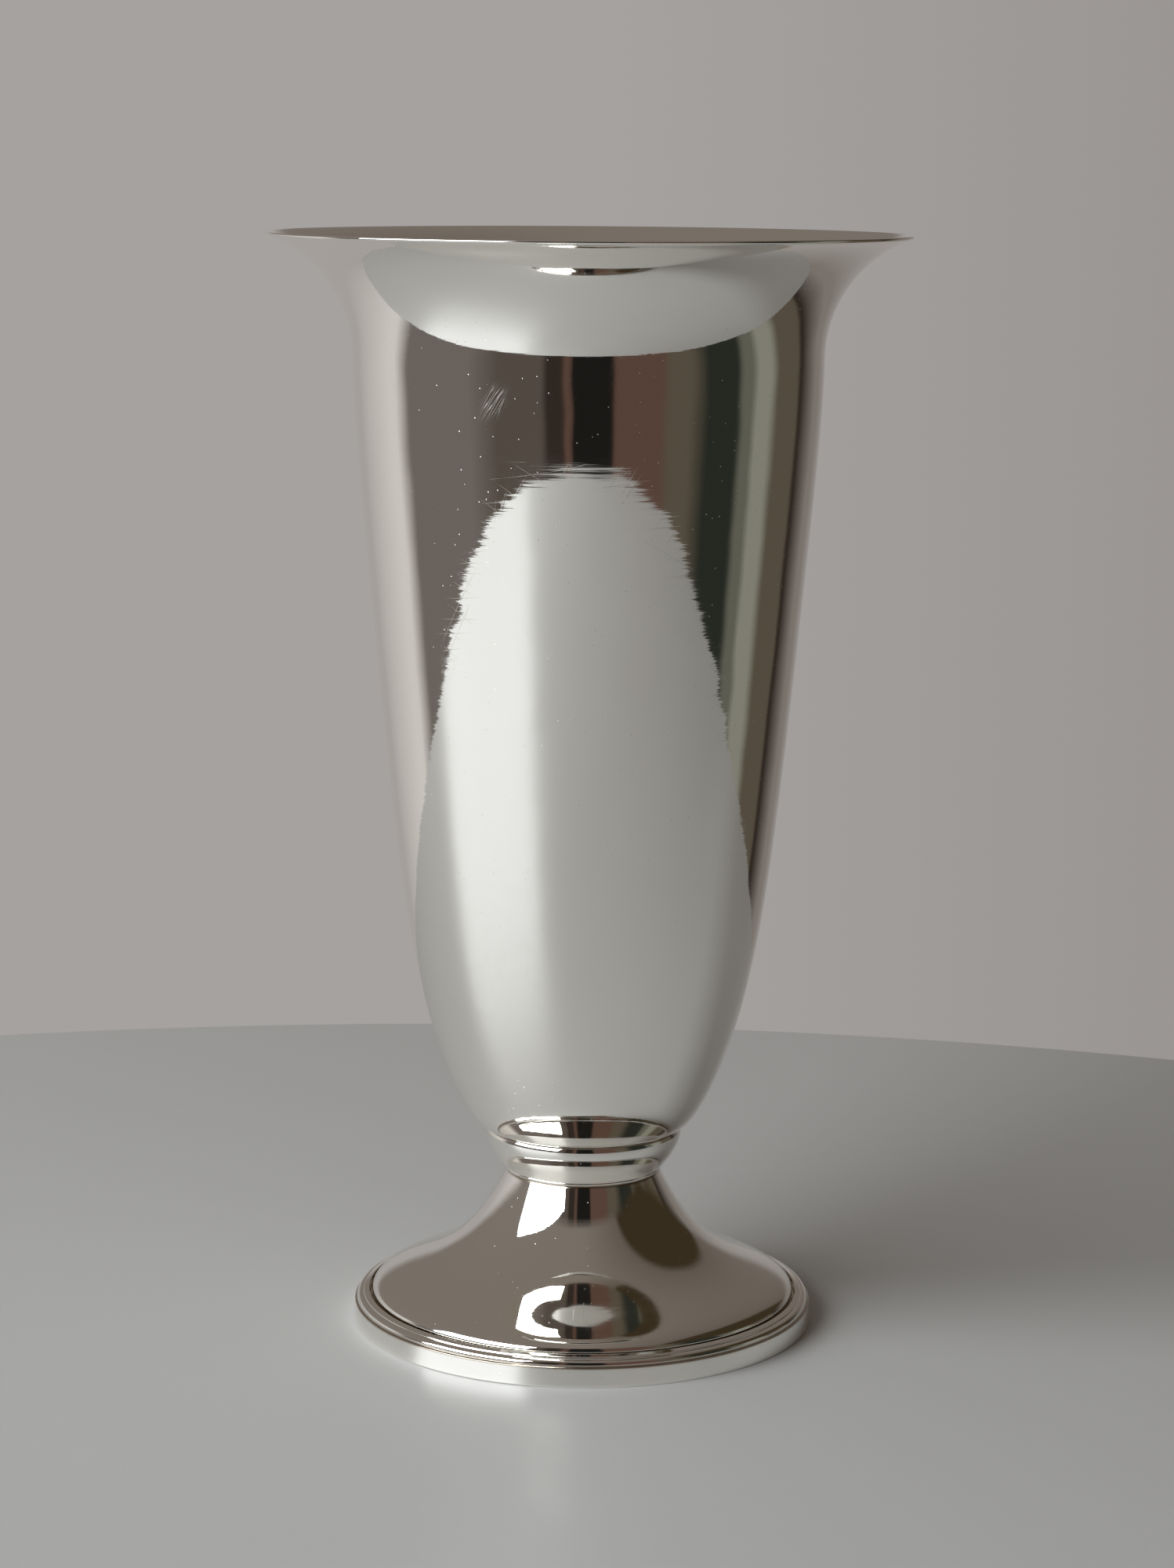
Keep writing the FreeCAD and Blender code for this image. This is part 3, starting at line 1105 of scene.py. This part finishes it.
pale_floor = bpy.data.materials.new("pale_floor")
pale_floor.use_nodes = True
floor_tree = pale_floor.node_tree
floor_shader = floor_tree.nodes["Principled BSDF"]
floor_place = floor_tree.nodes.new("ShaderNodeTexCoord").outputs["Object"]
clouds = noise(floor_tree, floor_place, floor_cloud_spacing, detail=2.0)
matt_spots = noise(floor_tree, floor_place, floor_matt_spacing, detail=2.0)
floor_tone = mix_colour(floor_tree, clouds, floor_colour, paler_floor)
floor_sheen = mix_number(floor_tree, matt_spots, *floor_roughness)
floor_tree.links.new(floor_tone, floor_shader.inputs["Base Color"])
floor_tree.links.new(floor_sheen, floor_shader.inputs["Roughness"])
floor.data.materials.append(pale_floor)
print("floor roughness from", floor_roughness[0], "to", floor_roughness[1])

# %% [markdown]
# ## The surround
# Round the set stand plain flats, as a studio puts up painted boards, so that the silver has
# quiet upright stripes to show. Real boards would need a shape and a light each. In the world
# they cost nothing: a flat is a stretch of compass directions in one tone, with 0 degrees in
# front of the vase, -90 on the left, 90 on the right and 180 behind it.

# %% Flats
pale = (0.38, 0.36, 0.35)
bright = (0.60, 0.58, 0.56)
stone = (0.20, 0.18, 0.165)
taupe = (0.15, 0.13, 0.12)
dim_taupe = (0.085, 0.070, 0.060)
dark = (0.03, 0.022, 0.018)
black = (0.011, 0.010, 0.009)
brown = (0.095, 0.056, 0.043)
deep_green = (0.020, 0.023, 0.018)
sage = (0.11, 0.112, 0.09)
pale_sage = (0.22, 0.22, 0.185)
olive = (0.09, 0.075, 0.055)
flats = [
    (-180, -150, pale),
    (-113, -108, bright),
    (-98, -60, taupe),
    (-45, -23, dim_taupe),
    (-20, -13, dark),
    (-11, -9, brown),
    (-7, 11, black),
    (13, 36, brown),
    (40, 50, olive),
    (60, 77, deep_green),
    (81, 86, sage),
    (90, 99, pale_sage),
    (105, 122, olive),
    (125, 127, dark),
    (145, 150, stone),
    (180, 180, pale),
]
print("the surround has", len(flats), "flats")

# %% [markdown]
# ## From directions to tones
# A Color Ramp holds the flats: two stops of one tone for each flat, and a soft change across
# the gap to the next. It takes at most 32 stops. The ceiling is a second ramp, told from left
# to right, because the foot and the lip look up and see it in stripes that run away from them.

# %% A ramp of tones
ceiling_left = (0.21, 0.185, 0.165)
ceiling_middle = (0.19, 0.165, 0.145)
ceiling_right = (0.12, 0.100, 0.085)
ceiling_far_right = (0.04, 0.028, 0.015)
ceiling = [
    (-90, -90, ceiling_left),
    (0, 0, ceiling_middle),
    (33, 33, ceiling_right),
    (37, 90, ceiling_far_right),
]


def tone_ramp(tree, angle, tones):
    """The tone at an angle, with a soft change from each stretch of directions to the next."""
    low, high = math.radians(tones[0][0]), math.radians(tones[-1][1])
    share = add_node(tree, "ShaderNodeMapRange", Value=angle, From_Min=low, From_Max=high)
    ramp = add_node(tree, "ShaderNodeValToRGB", Fac=share.outputs[0])
    stops = ramp.color_ramp.elements
    stops.remove(stops[-1])
    stops[0].color = (*tones[0][2], 1.0)
    for start, end, colour in tones:
        for direction in sorted({start, end} - {tones[0][0]}):
            stop = stops.new((math.radians(direction) - low) / (high - low))
            stop.color = (*colour, 1.0)
    print("a ramp of", len(stops), "stops")
    return ramp.outputs["Color"]


print("the ceiling has", len(ceiling), "stretches")

# %% The world
front_flats_rise = 0.65
back_flats_drop = 0.15
flats_end, ceiling_start = 0.24, 0.37

world = bpy.data.worlds.new("surround")
bpy.context.scene.world = world
world.use_nodes = True
sky = world.node_tree
heading = sky.nodes.new("ShaderNodeTexCoord").outputs["Generated"]
east, north, up = add_node(sky, "ShaderNodeSeparateXYZ", _0=heading).outputs
flats_tone = tone_ramp(sky, angle_from_front(sky, east, north), flats)
ceiling_tone = tone_ramp(sky, calculate(sky, "ARCSINE", east), ceiling)

in_front = calculate(sky, "MINIMUM", north, 0.0)
behind = calculate(sky, "MAXIMUM", north, 0.0)
above_flats = calculate(sky, "MULTIPLY_ADD", in_front, front_flats_rise, up)
above_flats = calculate(sky, "MULTIPLY_ADD", behind, back_flats_drop, above_flats)
on_flats = fade(sky, above_flats, flats_end, ceiling_start)
surround_tone = mix_colour(sky, on_flats, ceiling_tone, flats_tone)
sky.links.new(surround_tone, sky.nodes["Background"].inputs["Color"])
print("the world has", len(sky.nodes), "nodes")

# %% [markdown]
# ## The light
# One broad soft light stands at the front left, higher than the vase. A sun lamp would light
# the floor too, but a mirror shows the lamp itself, and only a lamp with a size gives the
# silver its broad bright shapes. The brightness at which it shows is chosen first, and the
# power that Blender asks for follows from its area.

# %% Broad soft light
light_turn = math.radians(-58)
light_distance = 1.5
light_width, light_height = 1.7, 1.0
light_middle = 0.92
light_aim_share = 0.75
light_radiance = 7.5
light_colour = (0.93, 0.97, 1.0)

lamp = bpy.data.lights.new("softbox", "AREA")
lamp.shape = "RECTANGLE"
lamp.size, lamp.size_y = light_width, light_height
lamp.energy = light_radiance * math.pi * light_width * light_height
lamp.color = light_colour
softbox = bpy.data.objects.new("softbox", lamp)
bpy.context.scene.collection.objects.link(softbox)
light_place = Vector((math.sin(light_turn), -math.cos(light_turn), 0.0)) * light_distance
light_place.z = light_middle
to_vase = Vector((0.0, 0.0, light_middle * light_aim_share)) - light_place
light_turned = to_vase.to_track_quat("-Z", "Y").to_matrix().to_4x4()
softbox.matrix_world = Matrix.Translation(light_place) @ light_turned
print("softbox:", round(lamp.energy, 1), "W")

# %% [markdown]
# ## The camera
# The camera stands at the photo's viewpoint: close, a little above the rim, looking down. It
# could be placed by eye, but a close camera bends every ellipse, so its place and angles
# were worked out from the ellipses that the rim, waist and foot draw. The frame is upright, so
# Blender's sensor size counts along its height.

# %% Camera
frame_height_px = 2000
focal_length_px = 4600
sensor_size = 36.0
nearest, farthest = 0.01, 20.0
camera_place = (0.0, -0.6487, 0.2144)
camera_pitch = math.radians(9.97)
camera_roll = math.radians(0.414)
camera_turn = math.radians(0.021)

lens = bpy.data.cameras.new("camera")
lens.sensor_width = sensor_size
lens.lens = focal_length_px / frame_height_px * sensor_size
lens.clip_start, lens.clip_end = nearest, farthest
camera = bpy.data.objects.new("camera", lens)
bpy.context.scene.collection.objects.link(camera)
turned_in = Matrix.Rotation(-camera_turn, 4, "Z")
tilted = Matrix.Rotation(math.pi / 2 - camera_pitch, 4, "X")
rolled = Matrix.Rotation(camera_roll, 4, "Z")
camera.matrix_world = Matrix.Translation(camera_place) @ turned_in @ tilted @ rolled
bpy.context.scene.camera = camera
print("lens:", round(lens.lens, 1), "mm")

# %% [markdown]
# ## Colours as written, and enough bounces
# The Standard view shows a colour as it is written, where Blender's usual view would grey the
# bright silver. Inside a deep silver bowl a ray of light is thrown back and forth many times
# before it finds its way out. Cycles gives up after a few bounces and paints the rest black,
# so both limits are raised.

# %% View and bounces
most_bounces = 16
most_mirror_bounces = 12

bpy.context.scene.view_settings.view_transform = "Standard"
bpy.context.scene.cycles.max_bounces = most_bounces
bpy.context.scene.cycles.glossy_bounces = most_mirror_bounces
print("bounces:", most_bounces, "of them in mirrors:", most_mirror_bounces)
